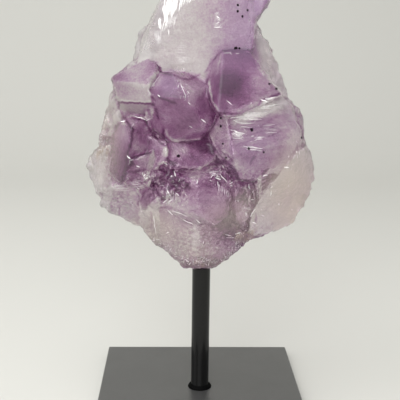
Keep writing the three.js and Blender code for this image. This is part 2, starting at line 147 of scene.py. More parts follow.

# The crystals and their facets: a place [x, z] of the front view where each facet shows, in
# millimetres, and how deep its purple is
# Each purple is partly the crystal's colour and partly painted light and shade, set facet by facet
# against how each facet is lit
CRYSTALS = dict(
    top_block=dict(front=(-2, 165, 0.16), left=(-24, 161, 0.0)),
    right_flank=dict(front=(26.4, 150, 0.1)),
    upper_left=dict(top=(-27.8, 145, 0.72), front=(-30, 137, 0.4), under=(-28.4, 130, 0.29)),
    centre=dict(
        top_left=(-14.8, 139, 0.85), top_right=(-6, 141, 0.38), left=(-12.3, 126.4, 0.62),
        right=(-0.3, 131, 0.38), under=(-3.9, 119.4, 0.46),
    ),
    upper_right=dict(side=(4.5, 141.4, 0.34), face=(16.5, 140.7, 0.52)),
    lower_right=dict(
        side=(7.6, 119.5, 0.38), face=(25.2, 122.7, 0.42), foot=(26.6, 108, 0.5), edge=(40, 118, 0.4),
    ),
    spear=dict(left=(-35, 111, 0.9), right=(-28, 116, 0.4), top=(-30.7, 124.8, 0.42)),
    heart=dict(front=(-19, 112, 0.64)),
    step=dict(front=(-27.5, 103.3, 0.56), right=(-22, 105, 0.36)),
    # The deep purple here is partly painted shade, standing for the shade under the centre crystal
    shaded=dict(front=(-5.6, 111, 0.78)),
    lobe=dict(left=(-7.8, 91, 0.46), right=(5, 92, 0.5), top=(-1, 102.7, 0.26), under=(-4.7, 82.8, 0.38)),
    skirt=dict(
        left=(-7.4, 72.5, 0.36), right=(5.8, 72, 0.6), far_left=(-15.6, 75.7, 0.5),
        far_right=(15.2, 73, 0.64),
    ),
    rib_inner=dict(front=(16.9, 90, 0.44), left=(13.2, 88.4, 0.36)),
    rib_middle=dict(front=(22, 95, 0.46)),
    rib_outer=dict(front=(29.2, 99.8, 0.62), left=(24.8, 96.1, 0.5)),
    right_plate=dict(front=(34, 91, 0.07), rim=(45, 106, 0.0)),
    left_plate=dict(front=(-41.7, 104.4, 0.26), rim=(-46, 100.7, 0.08)),
    left_foot_plate=dict(front=(-33, 89, 0.33), left=(-40.8, 91.5, 0.14)),
    stained_flank=dict(front=(-22.2, 80.3, -0.06)),
    rose_patch=dict(front=(-24.5, 92.3, 0.5)),
)

# How many times the facets of some crystals are smoothed, because the real ones have no clear edges
SOFT_ROUNDS = dict(
    upper_left=8, centre=2, upper_right=2, lower_right=7, lobe=22, skirt=26, left_plate=10,
    left_foot_plate=10, stained_flank=10, rose_patch=8, right_plate=8, step=6, heart=2,
)

# The crystals without pale edges, which elsewhere are partly wear and partly painted highlight
UNWORN_UNHIGHLIGHTED = ("top_block", "upper_right", "lower_right", "centre", "upper_left", "lobe", "spear")

# The crystals whose outer edges are chipped
CHIPPED = ("right_flank", "right_plate", "left_plate", "left_foot_plate", "stained_flank", "skirt")

# Soft patches: the middle [x, z] and the reach [x, z] in the front view, in millimetres, how strong the
# patch is, and the tilt in degrees if it has one. These make the purple deeper, or paler if below 0.
PURPLE_PATCHES = dict(
    top_block=(
        (19, 166, 13.5, 20, 0.33, -12), (20, 158, 6, 7, 0.15), (3, 171, 7, 8, 0.12),
        # The pale patch at [24.5, 159] paints light where the top block shades the right flank
        (24.5, 159, 3.5, 8, -0.65, 10), (14, 153, 11, 5, 0.24), (-4, 148, 9, 3.5, -0.06),
        (-30, 152, 7, 14, -0.6, 20),
    ),
    upper_left=(
        (-26, 146.5, 5.5, 4, 0.14), (-28, 134.5, 8, 2, -0.12), (-20, 142, 2.5, 5, -0.45, -20),
        (-39, 126, 6, 14, -0.45, 20),
    ),
    upper_right=(
        (11, 141.5, 8.5, 6, 0.6, -15), (13, 151, 8, 4, -0.12), (8, 136, 4, 7, 0.3),
        (23, 141, 6, 7, -0.15, 30), (18, 133.5, 7, 4, 0.18, 25),
    ),
    lower_right=(
        (25, 131, 12, 4, -0.42, 18), (15.5, 105, 5, 4, -0.25, 20), (39, 121.5, 6, 10, -0.1),
        (19, 109.5, 3.5, 3.5, 0.22),
    ),
    centre=(
        (-15, 140, 5, 3.5, -0.15), (-1, 131, 4, 8, 0.3, -25), (1, 128.5, 2.5, 2.5, 0.15),
        (-4.5, 142, 4, 3, 0.1), (-9, 122, 5, 3, 0.25, 5), (-3.5, 118.5, 5, 1.5, 0.4, 15),
        (-13, 133.5, 5, 4, 0.22), (-6, 125.5, 7, 4, 0.14, -15),
    ),
    # The first of these patches paints shade under the centre crystal, and the second paints light into
    # the left of that hollow
    shaded=((1, 114, 6, 2.5, 0.45, -5), (-12, 112.5, 6, 3.5, -0.35), (-17, 116, 6, 2.5, 0.1, -20)),
    heart=(
        (-30.5, 107, 2.5, 6, 0.3), (-20, 107, 4.5, 4.5, -0.15), (-25, 110, 5, 3.5, -0.02, 10),
        (-26, 119, 4, 5, 0.3), (-32.5, 119, 2.5, 4, -0.25),
    ),
    druse=((-13, 99.5, 7, 5, 0.62), (-15.5, 89, 6, 4, -0.15), (-23.5, 91.5, 3.5, 3.5, 0.2)),
    lobe=((7, 102, 7, 4, 0.34), (-10, 90, 6, 6, -0.15), (1, 97, 5, 5, 0.12)),
    ribs=(
        (14, 97, 4, 9, 0.2), (14, 83, 3.5, 8, 0.3), (19.5, 95, 3, 5, 0.4, -20), (22, 83, 4, 5, -0.28),
    ),
    foot=(
        (12, 79, 6, 7, 0.62), (-5, 68, 22, 8, -0.15), (-35.5, 85, 10.5, 8, -0.1, -20),
        (0, 62, 14, 3.5, 0.55),
    ),
    rims=((-45.5, 108, 4.5, 17, -0.4), (42.5, 93.5, 8.5, 19.5, -0.2)),
)

# Where the quartz is beige, violet, hazy and stained
BEIGE_PATCHES = dict(
    right_plate=(39, 93, 12, 22, 1.0), foot=(2, 64, 20, 6, 0.28), left_flank=(-22, 78, 10, 9, 0.6),
    left_rim=(-42, 120, 7, 22, 0.5), foot_left=(-9, 72, 14, 9, 0.35), lobe_foot=(8, 83, 8, 8, 0.25),
    low_ribs=(19, 86, 7, 9, 0.35),
)
VIOLET_PATCHES = dict(
    lilac_corner=(18.5, 165, 13, 22, 0.35, -15), lower_right=(24, 114, 14, 14, 0.3),
    pale_top_of_centre=(-15, 140, 5, 5, 0.3), flank_top=(26, 157, 4.5, 10, -0.3, 10),
)
HAZE_PATCHES = dict(
    fan=(-14, 174, 7, 9, 0.55, -20), fan_foot=(-18, 161, 3, 6, 0.35), top_middle=(5.5, 167, 2.5, 5, 0.3),
    rings=(-9, 154, 6, 8, 0.15), edge_of_lower_right=(24, 129.4, 12, 2.6, 1.0, 22),
    terrace=(14.5, 119.5, 5, 2.2, 0.30), terrace_low=(21, 115, 5, 2, 0.2),
    right_notch=(37, 129, 3.5, 4, 0.3), rose=(-24, 100, 3.5, 1.5, 0.3), druse=(-14.5, 90.5, 4, 2.5, 0.3),
    foot=(-2.5, 75, 2, 10, 0.5), right_foot=(6, 68.5, 4, 2.5, 0.2), right_flank=(27, 153, 6, 14, 0.1, 10),
    left_rim=(-44, 110, 6, 12, 0.3), left_shoulder=(-39, 128, 5, 10, 0.2, 20),
)
STAIN_PATCHES = dict(
    left_flank=(-22.5, 80, 4.5, 8, 0.22), foot=(2, 62.5, 14, 3, 0.3), right_of_foot=(13, 76, 5, 6, 0.2),
    left_rim=(-43, 112, 4, 4, 0.5), right_foot=(20, 75, 6, 4, 0.5, 30),
)

# Where it has growth ledges, drusy points, growth lines and grit, and where its colour is even
LEDGE_PATCHES = dict(
    lower_right=(21, 124, 14, 11, 1.0, 15),
)
DRUSE_PATCHES = dict(
    druse=(-14, 98, 8, 8, 1.0), rose=(-24, 99, 5, 4, 0.6), lobe_brow=(7, 102, 6, 4, 0.7, -20),
    foot=(4, 66, 12, 4, 0.6), right_foot=(17, 76, 6, 7, 0.6, 40), left_rim=(-44, 114, 5, 4, 0.6),
)
STRIATED_PATCHES = dict(
    top_block=(-2, 158, 22, 20, 0.12), lower_right=(24, 120, 14, 13, 1.0, 5),
    upper_right=(15, 142, 12, 12, 0.4), centre=(-10, 130, 9, 12, 0.3, 60), left=(-34, 92, 9, 6, 0.6),
    right_plate=(35, 92, 12, 18, 0.5),
)
GRAINY_PATCHES = dict(
    druse=(-14, 97, 10, 10, 0.8), lobe_brow=(8, 101, 9, 8, 0.8), ribs=(21, 90, 7, 14, 1.0),
    foot=(0, 70, 22, 12, 0.75), right_foot=(18, 74, 8, 6, 1.0, 35), left_foot=(-28, 80, 18, 6, 0.7, -30),
    left_rim=(-42, 113, 6, 9, 1.0), plate_rim=(44, 100, 4, 22, 0.6), rose=(-24, 100, 8, 6, 0.6),
    fan_edge=(-13, 165, 10, 8, 0.1), right_plate=(35, 92, 12, 18, 0.7),
    left_plates=(-38, 95, 10, 12, 0.4),
)
CALM_PATCHES = dict(
    top_block=(-1, 165, 24, 24, 1.0), upper_left=(-29, 140, 13, 13, 1.3), spear=(-35, 112, 5, 13, 1.0),
    centre=(-10, 130, 9, 12, 0.35), upper_right=(9, 142, 7, 13, 0.5),
    upper_right_ridge=(6.4, 142, 2.5, 15, 1.0, 4),
)

# Seams where crystals meet, healed cracks, and a few lines of painted shade, by their crystals: the reach
# of each to either side, in millimetres, how much deeper the purple is there, and the places [x, z] along
# it
SEAMS = dict(
    spear=(
        (0.4, 0.4, (-34.5, 124.5), (-36.5, 122.5), (-38, 119), (-38.5, 114), (-40, 109), (-41, 104.5)),
        (0.5, 0.5, (-32.5, 124.5), (-31, 122.5), (-30, 121)),
        (0.6, 0.45, (-30, 121), (-30.5, 116), (-32, 110), (-32.5, 105.5), (-33.5, 101), (-35, 97.5)),
    ),
    upper_left=(
        (0.4, 0.45, (-35.5, 132.5), (-28.5, 132.5), (-21.5, 132)),
        (0.5, 0.25, (-36, 132), (-35, 128.5), (-32.5, 125), (-30.5, 122.5)),
    ),
    centre=(
        (0.5, 0.3, (-21.5, 132.5), (-20, 129.5), (-19, 126)),
        # The next two seams paint the shade under the centre crystal
        (0.5, 0.5, (-10, 116), (-5, 116), (-1.5, 116.5), (0.5, 118.5)),
        (0.8, 0.8, (-1.5, 116), (1.5, 115), (4, 113), (4.5, 111.5)),
        (0.4, 0.35, (-19, 135), (-16, 134), (-12, 132.5)),
        (0.4, 0.3, (-17, 145), (-12, 144), (-8.5, 142.5), (-6, 142.5), (-2, 144.5)),
        # This wide seam paints shade over the reflection along the right edge of the centre crystal
        (1.6, 0.25, (4, 134.5), (4.5, 129), (3, 124), (0.5, 119.5)),
        (0.5, 0.2, (1.5, 142.5), (2, 137.5), (3, 132.5), (5.5, 130)),
    ),
    heart=(
        (0.4, 0.5, (-29.5, 126), (-24.5, 125)),
        (0.5, 0.5, (-24.5, 125), (-23, 122), (-21.5, 119), (-18.5, 116), (-16, 114.5)),
        (0.4, 0.45, (-17, 121.5), (-17, 119.5), (-16, 117)),
        (0.4, 0.6, (-31.5, 108.5), (-27, 110), (-22, 111.5)),
        (0.9, 0.45, (-31.5, 108), (-30.5, 106.5), (-32, 105)),
        (0.5, 0.35, (-32.5, 103), (-28.5, 103), (-24.5, 104)),
    ),
    upper_right=(
        (0.5, 0.35, (7.5, 154.5), (10, 155), (14, 154.5), (20, 155)),
        (0.4, 0.2, (7.5, 154.5), (4, 151), (0.5, 146)),
        (0.4, 0.4, (6.5, 128.5), (10, 128.5), (14.5, 128), (18, 129), (21, 130.5), (23, 132),
            (24.5, 134), (28, 135.5), (32, 137)),
    ),
    lower_right=(
        (0.4, 0.3, (7, 128), (4.5, 124), (2, 119.5), (4, 115.5), (5, 113)),
        (0.5, 0.25, (11, 125.5), (11.5, 121.5), (12, 115.5), (12.5, 108.5)),
        (0.5, 0.35, (22, 110), (20.5, 107)), (0.4, 0.3, (23.5, 114), (23, 112)),
        # The last seam here paints the shadow under the lower right crystal
        (0.4, 0.25, (40.5, 114.5), (38.5, 110), (36.5, 105.5)), (0.6, 0.8, (17.5, 99.5), (22.5, 99.5)),
    ),
    druse=(
        (0.6, 1, (-15.5, 108.5), (-12.5, 106.5)), (0.8, 0.5, (-17.5, 104), (-15, 102)),
        (0.8, 0.6, (-14, 100), (-10.5, 99)), (0.6, 0.4, (-21, 97.5), (-19.5, 101)),
        (0.8, 0.4, (-8, 98.5), (-5.5, 96)), (0.8, 0.45, (-18.5, 93.5), (-17, 91.5)),
        (0.4, 0.35, (-18, 87.5), (-13.5, 87)), (0.5, 0.3, (-24, 96), (-21.5, 95.5)),
        (0.5, 0.4, (-15, 97), (-12, 96.5)),
    ),
    rose_patch=((0.4, 0.3, (-25, 94), (-26.5, 90.5), (-28, 88.5)),),
    stained_flank=((0.5, 0.4, (-22, 85), (-22, 78.5)), (0.4, 0.4, (-22, 78.5), (-21, 72.5))),
    lobe=(
        # The first seam paints the shadow in the crease between the lobe and the lower right crystal
        (0.9, 0.5, (6, 107.5), (9.5, 107.5), (12, 106), (14, 103), (16.5, 99.5)),
        (1.3, 0.4, (14.5, 91.5), (17.5, 91.5)), (0.6, 0.2, (11.5, 96), (10.5, 86)),
        (0.8, 0.2, (14.5, 88), (14.5, 78.5)),
    ),
    ribs=(
        (0.6, 0.6, (21.5, 99.5), (22, 96.5)),
        (0.4, 0.7, (17.5, 98), (19, 92), (20.5, 85.5), (19.5, 80), (19, 76)),
        (0.4, 0.7, (23, 96), (24, 91), (22.5, 87.5), (21, 84)), (0.4, 0.7, (23.5, 85), (23.5, 81)),
        (0.5, 0.4, (25.5, 102.5), (28, 104.5)), (0.5, 0.4, (26.5, 100.5), (28.5, 101)),
    ),
    foot=(
        (0.4, 0.15, (4.5, 82), (12, 82.5)), (0.4, 0.15, (4.5, 79), (10, 79)),
        (0.5, 0.4, (13, 74.5), (16, 75), (18.5, 73.5)),
        (1.0, 0.18, (-17, 69), (-13, 65.5), (-8, 61.8), (5, 61.8), (10, 64.5), (15.5, 68.5), (19.5, 73)),
    ),
    right_plate=(
        (0.3, 0.2, (26.5, 78.5), (32, 78), (37.5, 79.5)),
        (0.3, 0.2, (38.5, 81.5), (41, 85.5), (44.5, 90)),
    ),
)

# Edges that let light through, in the same form
PALE_SEAMS = dict(
    upper_left=((0.4, -0.35, (-35, 133.5), (-28.5, 133), (-21.5, 133)),),
    centre=(
        (0.4, -0.4, (-16, 121), (-15, 118.5), (-13, 117), (-10, 116.5), (-5.5, 117), (-1.5, 117.5)),
        (0.5, -0.15, (2, 142.5), (2.5, 137.5), (4, 133.5), (5.5, 131)),
    ),
    heart=(
        (0.4, -0.25, (-24, 125.5), (-23, 122.5), (-21.5, 120)),
        (1.2, -0.2, (-22, 119.5), (-19, 116.5), (-16, 114), (-16, 110.5)),
        (0.4, -0.3, (-32.5, 110), (-32, 108), (-33, 106)),
    ),
    upper_right=(
        (0.5, -0.5, (2, 141.5), (2.5, 137.5), (4, 132.5), (6, 130)),
        (0.4, -0.25, (21, 151.5), (22.5, 148), (25, 145), (28, 142), (32.5, 137.5)),
        (0.3, -0.25, (7.5, 154.5), (6, 149), (5.5, 145)),
    ),
    lower_right=(
        (0.4, -0.3, (2.5, 119.5), (4.5, 116), (6, 113)),
        (0.5, -0.3, (12.5, 107), (14, 103.5), (16.5, 100.5), (19, 100), (22.5, 100.5)),
    ),
    ribs=(
        (0.7, -0.55, (24.5, 100.5), (25, 96.5), (25, 92)), (0.4, -0.25, (13, 90), (16, 83)),
        (0.4, -0.6, (23.5, 87.5), (21, 83.5)), (0.4, -0.5, (30, 95), (28.5, 92), (26, 88)),
        (0.4, -0.25, (25.5, 101.5), (29, 104), (33.5, 105.5)),
        (0.45, -0.45, (18.5, 97), (19.5, 93.5), (20.5, 90.5)),
    ),
    stained_flank=((0.5, -0.4, (-21, 84.5), (-20.5, 79), (-19.5, 73.5)),),
    rose_patch=((0.6, -0.15, (-29.5, 93.5), (-26, 96.5), (-22.5, 95)),),
    right_plate=((0.5, -0.4, (30, 95), (26, 88), (24, 84.5)),),
)

# Bundles of bright lines where growth steps and healed cracks catch the light. Each line starts between
# the first two places and ends between the last two. Then come the number of lines, their width and
# how bright they are.
BUNDLES = dict(
    fan_heart=((-19.5, 178.5), (-10, 178.5), (-17.5, 170), (-13.5, 166), 24, 0.45, 0.8),
    fan_tip=((-17.5, 173), (-15, 173), (-16.5, 165.5), (-15.5, 165), 4, 0.7, 1),
    fan_left=((-20.5, 176), (-19, 177), (-20, 171), (-18, 169.5), 5, 0.5, 1),
    fan_right=((-11, 178.5), (-3, 178.5), (-12.5, 169), (-4, 174.5), 15, 0.36, 0.85),
    fan_foot=((-19, 168.5), (-18, 168.5), (-19, 163), (-18, 162.5), 3, 0.4, 1),
    fan_dashes=((-21, 163.5), (-17.5, 162.5), (-20.5, 156.5), (-18.5, 156), 6, 0.18, 0.7),
    fan_fringe=((-17, 166.5), (-11, 170), (-18.5, 161), (-13, 163), 12, 0.18, 0.6),
    fan_spur=((-16, 163.5), (-15, 163.5), (-14.5, 160), (-14.5, 160), 2, 0.25, 0.8),
    fan_crack=((-10, 168.5), (-7.5, 166), (-7.5, 166), (-5.5, 168.5), 2, 0.12, 0.35),
    edge_strokes=((12, 127), (24.5, 131.5), (23, 125.5), (32, 133), 24, 0.26, 0.8),
    edge_left=((10.5, 128), (11, 126), (18, 128.5), (17, 127), 6, 0.22, 0.8),
    edge_far=((24.5, 132), (24.5, 135), (32, 134), (32, 136), 8, 0.2, 0.8),
    terrace=((11.5, 122), (12.5, 118), (18.5, 119.5), (17.5, 117.5), 9, 0.17, 0.8),
    terrace_high=((12.5, 125), (16, 124.5), (18, 123.5), (23, 124.5), 6, 0.14, 0.5),
    terrace_right=((21.5, 119), (22, 117), (26.5, 118.5), (26, 117.5), 4, 0.16, 0.7),
    terrace_low=((17, 115), (17.5, 113), (25.5, 114), (25.5, 112), 4, 0.14, 0.5),
    terrace_far=((25, 123.5), (25.5, 120), (32, 124), (32.5, 120), 4, 0.15, 0.3),
    rings=((-12, 157), (-12, 153.5), (-6, 157), (-7, 153.5), 5, 0.12, 0.6),
    rings_mid=((-12, 152), (-11.5, 149), (-5, 151.5), (-6, 149), 5, 0.14, 0.6),
    top_chips=((3.5, 170), (5.5, 163.5), (6, 171.5), (7, 165), 6, 0.22, 0.4),
    lobe_brow=((1.5, 103.5), (5.5, 100.5), (8, 103), (8.5, 99), 8, 0.22, 0.5),
    lobe_fall=((6, 99), (11, 95.5), (7, 94.5), (11.5, 91.5), 7, 0.15, 0.4),
    druse=((-17.5, 97), (-11.5, 95), (-17, 88.5), (-11.5, 89.5), 8, 0.18, 0.45),
    rose_lines=((-32, 98.5), (-31, 94.5), (-25, 99.5), (-24.5, 96), 7, 0.14, 0.4),
    spear_foot=((-39, 98.5), (-38.5, 94.5), (-33, 98), (-31, 95), 6, 0.15, 0.4),
    rib_lines=((19, 98), (25.5, 100.5), (21, 84.5), (26, 92), 4, 0.12, 0.3),
)

# Single bright lines, partly white cracks and growth steps and partly painted highlights, by their
# crystals:
# from [x, z], to [x, z], width and how bright they are
GLINTS = dict(
    centre=(
        (-10, 141, -7.5, 135.5, 0.18, 0.6), (-9, 139.5, -8.5, 139, 0.35, 0.4),
        (-7, 137.5, -6, 136.5, 0.3, 0.4), (-6.5, 133, -5.5, 132, 0.35, 0.7), (-1, 126, 1, 124.5, 0.5, 1),
        (-6, 123, -4.5, 122, 0.3, 0.4), (-19.5, 136, -18.5, 135, 0.35, 0.6),
    ),
    heart=(
        (-29.5, 127, -24.5, 125.5, 0.5, 1), (-24.5, 125, -22, 126, 0.3, 0.6),
        (-35, 124.5, -33, 125, 0.5, 0.9), (-32.5, 110, -31, 108.5, 0.5, 0.6),
        (-30.5, 109.5, -22, 112, 0.3, 0.6), (-24, 112.5, -22, 112, 0.5, 0.6),
    ),
    rose_patch=(
        (-28.5, 105.5, -27, 105, 0.5, 0.6), (-25.5, 101, -24.5, 102, 0.5, 0.8),
        (-24.5, 100, -23.5, 100.5, 0.5, 0.7), (-23, 101.5, -22.5, 100.5, 0.4, 0.5),
    ),
    upper_left=((-18.5, 144, -22.5, 138.5, 0.22, 0.55), (-23.5, 138.5, -22.5, 135.5, 0.25, 0.35)),
    upper_right=(
        (8, 153.5, 10.5, 153.5, 0.2, 0.2), (10.5, 154, 11.5, 153, 0.25, 0.35),
        (13, 153.5, 14.5, 153.5, 0.25, 0.35), (9.5, 134, 12, 132, 0.28, 0.8),
    ),
    edge_of_lower_right=(
        (9.5, 128, 11.5, 126.5, 0.9, 1), (10.5, 127, 18.5, 128.5, 0.35, 1),
        (13.5, 126, 25, 126, 0.22, 0.8), (24, 134.5, 27, 133.5, 0.55, 0.9),
        (25, 133, 27.5, 133.5, 0.35, 0.8), (28, 135.5, 31.5, 135, 0.25, 0.7),
        (24.5, 131.5, 31.5, 132.5, 0.25, 0.6),
    ),
    terraces=(
        (11.5, 121.5, 18.5, 119.5, 0.28, 1), (12, 120, 17, 119, 0.18, 0.7),
        (12.5, 118, 17, 117.5, 0.18, 0.45), (16, 123, 21, 122.5, 0.2, 0.6),
        (21.5, 118, 26.5, 118.5, 0.24, 0.8), (17, 114.5, 25.5, 113.5, 0.2, 0.6),
        (12.5, 125.5, 14.5, 125, 0.35, 0.7),
    ),
    lobe=(
        (8, 101.5, 10.5, 99, 0.4, 0.9), (11.5, 98, 13, 99, 0.5, 0.9), (8.5, 106, 9, 105, 0.6, 0.6),
        (3.5, 100.5, 4.5, 102, 0.35, 0.6), (6.5, 99, 7, 97, 0.35, 0.6), (1.5, 103, 7, 103.5, 0.3, 0.4),
    ),
    ribs=(
        (20, 98, 20.5, 95.5, 0.5, 0.6), (26, 101.5, 28, 102, 0.6, 0.8), (21, 91, 22.5, 91, 0.4, 0.5),
        (20, 82.5, 18.5, 80.5, 0.6, 0.8), (23, 87, 21, 83.5, 0.3, 0.6), (22, 81, 23.5, 80.5, 0.4, 0.6),
    ),
    right_plate=((35, 105.5, 37, 105.5, 0.5, 0.7), (30, 95, 29.5, 93, 0.3, 0.6)),
    druse=(
        (-17, 107.5, -15, 106, 0.6, 0.7), (-14, 101, -13, 101.5, 0.5, 0.5),
        (-15, 95, -14, 92.5, 0.6, 0.9), (-17, 89.5, -15, 91, 0.4, 0.8), (-14.5, 90, -13, 91, 0.35, 0.7),
        (-11.5, 94, -10, 92.5, 0.4, 0.5), (-12.5, 103.5, -11.5, 101, 0.4, 0.4),
        (-2.5, 98, -2, 99.5, 0.5, 0.5),
    ),
    foot=(
        (-15, 86, -12.5, 84, 0.35, 0.7), (-13, 86, -6.5, 83.5, 0.2, 0.35), (-8, 82, -4, 80, 0.35, 0.8),
        (-2.5, 82, -1, 80.5, 0.45, 0.7), (-21, 83.5, -20, 75.5, 0.25, 0.4),
        (-15.5, 76, -14.5, 76.5, 0.5, 0.5), (10, 75.5, 13.5, 74.5, 0.2, 0.4),
        (10.5, 74, 15, 74, 0.2, 0.3), (14.5, 75.5, 17, 76.5, 0.5, 0.6),
    ),
    top_block=(
        (4.5, 168.5, 6, 167.5, 0.4, 0.7), (3.5, 164, 7, 164, 0.3, 0.6), (4.5, 165.5, 6, 166, 0.3, 0.5),
    ),
)

# Patches of small bright and dark scars, where the quartz is broken or drusy: the middle, the reach, how
# many there are, and the tilt if it has one
CHIPS = dict(
    bottom_rim=(0, 62.8, 12, 1.8, 110), left_rim_of_foot=(-16, 69.5, 9, 1.2, 60, -40),
    right_rim_of_foot=(15, 68, 9, 1.4, 90, 42), right_foot=(17.5, 76, 2, 6, 34, -35),
    foot=(2, 75, 15, 9, 16), rose=(-25, 99, 5, 4, 24), druse=(-14, 98, 6, 6, 22),
    under_druse=(-15, 90, 4, 4, 30), lobe_brow=(7, 101, 5, 4, 26, -20), ribs=(21, 92, 4, 8, 26),
    left_rim=(-43, 113, 3.5, 5, 36), right_plate=(37, 92, 9, 12, 14),
    left_foot_plate=(-36, 88, 8, 6, 20, -20), upper_left_edge=(-24, 140, 2, 4, 10, -20),
    ridge_of_centre=(-8, 136, 2.5, 5, 26, 25), lower_right=(20, 122, 9, 7, 18),
    right_edge=(40, 110, 2, 8, 16),
)

# Grains of goethite on the crystals: the place in the front view and the size
GRAINS = (
    (13, 155.5, 1), (14.5, 155.5, 0.6), (13.5, 173, 0.6), (13.5, 170.5, 0.6),
    (17.5, 171, 0.55), (15.5, 168.5, 0.6), (27.5, 141, 0.65), (30.5, 139, 0.7),
    (7.5, 126.5, 0.65), (7.5, 123, 0.75), (20.5, 121.5, 0.95), (8.5, 115.5, 0.65),
    (19.5, 113.5, 0.75), (26, 112, 0.6), (10, 109.5, 0.6), (42, 118.5, 0.7),
    (-10.5, 110, 0.95),
)


def linear(text):
    """The linear colour of a tint written as the eye sees it."""
    shares = [int(text[i:i + 2], 16) / 255 for i in (0, 2, 4)]
    return [c / 12.92 if c <= 0.04045 else ((c + 0.055) / 1.055) ** 2.4 for c in shares]


def front(x, z):
    """The place [x, z] of the front view, which lies in the upright plane through the post."""
    return Vector((x, 0, z)) * MM


def link(thing):
    SCENE.collection.objects.link(thing)
    return thing


def make_camera():
    data = bpy.data.cameras.new("camera")
    data.lens = LENS
    data.sensor_width = SENSOR
    data.clip_start = 10 * MM
    camera = link(bpy.data.objects.new("camera", data))
    forward = Vector((
        math.sin(LOOK_RIGHT) * math.cos(LOOK_DOWN),
        math.cos(LOOK_RIGHT) * math.cos(LOOK_DOWN),
        -math.sin(LOOK_DOWN),
    ))
    level = Vector((math.cos(LOOK_RIGHT), -math.sin(LOOK_RIGHT), 0))
    upright = level.cross(forward)
    right = level * math.cos(HEAD_TILT) + upright * math.sin(HEAD_TILT)
    up = upright * math.cos(HEAD_TILT) - level * math.sin(HEAD_TILT)
    axes = Matrix((right, up, -forward)).transposed().to_4x4()
    camera.matrix_world = Matrix.Translation(EYE * MM) @ axes
    SCENE.camera = camera


class Nodes:
    """A short way to place and link shader nodes."""

    def __init__(self, tree):
        self.tree = tree

    def add(self, kind, **settings):
        node = self.tree.nodes.new(kind)
        for key, value in settings.items():
            setattr(node, key, value)
        return node

    def feed_socket(self, value, socket):
        if isinstance(value, bpy.types.NodeSocket):
            self.tree.links.new(value, socket)
        else:
            socket.default_value = value

    def feed(self, node, **values):
        """Links or sets inputs of a node by their names, with an underscore for each space."""
        for name, value in values.items():
            self.feed_socket(value, node.inputs[name.replace("_", " ")])

    def maths(self, operation, *values):
        node = self.add("ShaderNodeMath", operation=operation)
        for value, socket in zip(values, node.inputs):
            self.feed_socket(value, socket)
        return node.outputs[0]

    def total(self, values, shares, base=0.0):
        """The base and the share of each named value, added up."""
        for name, share in shares.items():
            base = self.maths("MULTIPLY_ADD", values[name], share, base)
        return base

    def mix(self, share, colour, tint):
        node = self.add("ShaderNodeMix", data_type="RGBA")
        self.feed(node, Factor=share)
        self.feed_socket(colour, node.inputs[MIX_FIRST])
        self.feed_socket((*linear(tint), 1), node.inputs[MIX_SECOND])
        return node.outputs[MIX_RESULT]

    def cloud(self, **values):
        node = self.add("ShaderNodeGroup", node_tree=CLOUD)
        self.feed(node, **values)
        return node.outputs["Value"]

    def split_attribute(self, name):
        node = self.add("ShaderNodeAttribute", attribute_name=name)
        parts = self.add("ShaderNodeSeparateColor")
        self.feed(parts, Color=node.outputs["Color"])
        return list(parts.outputs)

    def bump(self, height, strength, distance):
        node = self.add("ShaderNodeBump")
        self.feed(node, Height=height, Strength=strength, Distance=distance)
        return node.outputs["Normal"]


def new_material(name):
    material = bpy.data.materials.new(name)
    material.use_nodes = True
    nodes = Nodes(material.node_tree)
    shader = material.node_tree.nodes["Principled BSDF"]
    return material, nodes, shader


def cloud_group():
    """A soft random value from -0.5 to 0.5 over the surface, which can be stretched along an axis."""
    tree = bpy.data.node_groups.new("cloud", "ShaderNodeTree")
    settings = ("Scale", "Detail", "Distortion")
    for name in settings:
        tree.interface.new_socket(name, in_out="INPUT", socket_type="NodeSocketFloat")
    stretch = tree.interface.new_socket("Stretch", in_out="INPUT", socket_type="NodeSocketVector")
    stretch.default_value = (1, 1, 1)
    tree.interface.new_socket("Value", in_out="OUTPUT", socket_type="NodeSocketFloat")
    nodes = Nodes(tree)
    given = nodes.add("NodeGroupInput").outputs
    place = nodes.add("ShaderNodeTexCoord").outputs["Object"]
    stretched = nodes.add("ShaderNodeVectorMath", operation="MULTIPLY")
    for value, socket in zip((place, given["Stretch"]), stretched.inputs):
        nodes.feed_socket(value, socket)
    cloud = nodes.add("ShaderNodeTexNoise")
    nodes.feed(cloud, Vector=stretched.outputs["Vector"], **{name: given[name] for name in settings})
    centred = nodes.maths("SUBTRACT", cloud.outputs["Fac"], 0.5)
    nodes.feed(nodes.add("NodeGroupOutput"), Value=centred)
    return tree


def spotty(nodes, amount, cloud, softness):
    """A mask that covers more of the surface, in spots of the cloud, as the amount grows."""
    total = nodes.maths("ADD", amount, nodes.maths("MULTIPLY", cloud, SPOT_CONTRAST))
    edge = nodes.add("ShaderNodeMapRange", interpolation_type="SMOOTHSTEP")
    nodes.feed(edge, Value=total, From_Min=0.5 - softness, From_Max=0.5 + softness)
    present = nodes.maths("MINIMUM", nodes.maths("MULTIPLY", amount, SPOT_ONSET), 1.0)
    return nodes.maths("MULTIPLY", edge.outputs["Result"], present)


def purple_ramp(nodes, depth):
    """The colour of the quartz by how deep its purple is."""
    ramp = nodes.add("ShaderNodeValToRGB")
    last = len(PURPLE_RAMP) - 1
    for step in range(1, last):
        ramp.color_ramp.elements.new(step / last)
    for element, tint in zip(ramp.color_ramp.elements, PURPLE_RAMP):
        element.color = (*linear(tint), 1)
    nodes.feed(ramp, Fac=nodes.maths("DIVIDE", depth, DEEPEST))
    return ramp.outputs["Color"]


